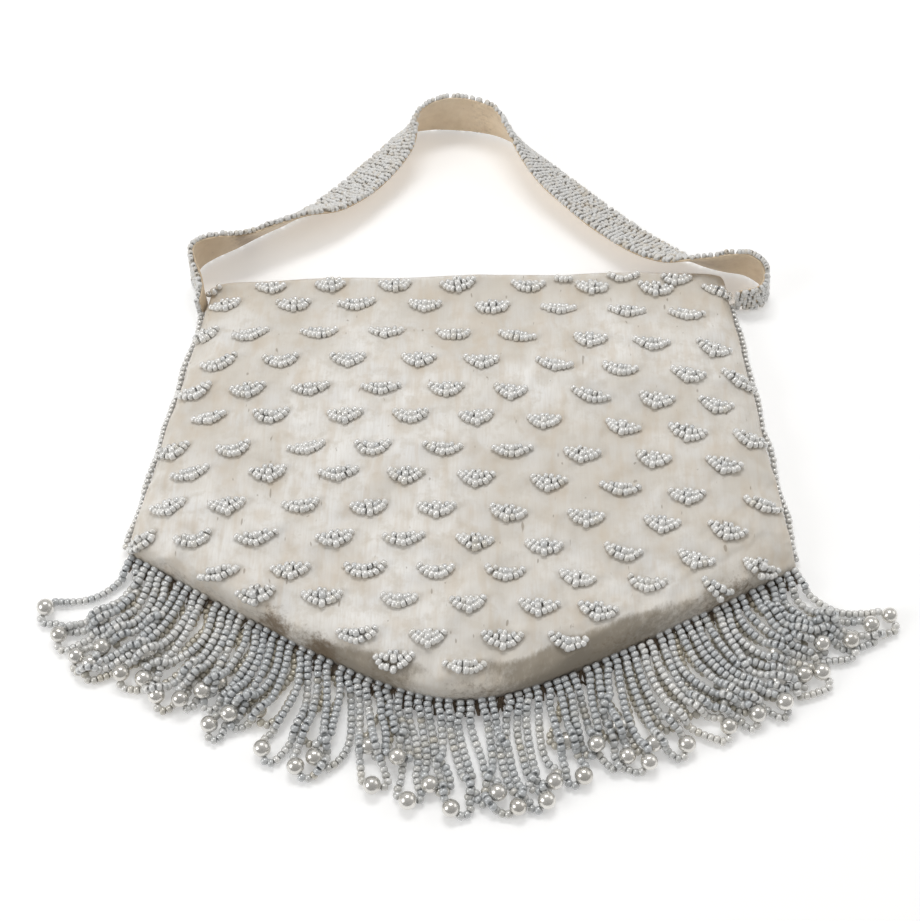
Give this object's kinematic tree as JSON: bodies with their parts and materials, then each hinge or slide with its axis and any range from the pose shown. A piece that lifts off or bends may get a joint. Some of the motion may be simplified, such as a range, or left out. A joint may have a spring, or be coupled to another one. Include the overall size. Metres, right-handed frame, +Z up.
{
  "type": "beaded flapper purse",
  "caption": "Flat satin evening purse lying on its back, with embroidered bead motifs, a looped bead fringe tipped with pearls and a beaded wrist strap.",
  "frame": {"origin": "middle of the footprint's bounding box, on the surface that the purse lies on", "axes": "+Z up through the front, +Y from the fringe towards the strap, +X to the right as seen from the front"},
  "size_m": [0.2284, 0.2376, 0.0178],
  "materials": {
    "satin": "aged cream satin",
    "seed_beads": "pearl-white glaze",
    "pearls": "imitation pearl"
  },
  "bodies": {
    "root": {"front_panel": "satin", "back_panel": "satin", "edge_beads_left": "seed_beads", "edge_beads_right": "seed_beads", "fringe": "seed_beads", "strap": "seed_beads"}
  },
  "joints": []
}
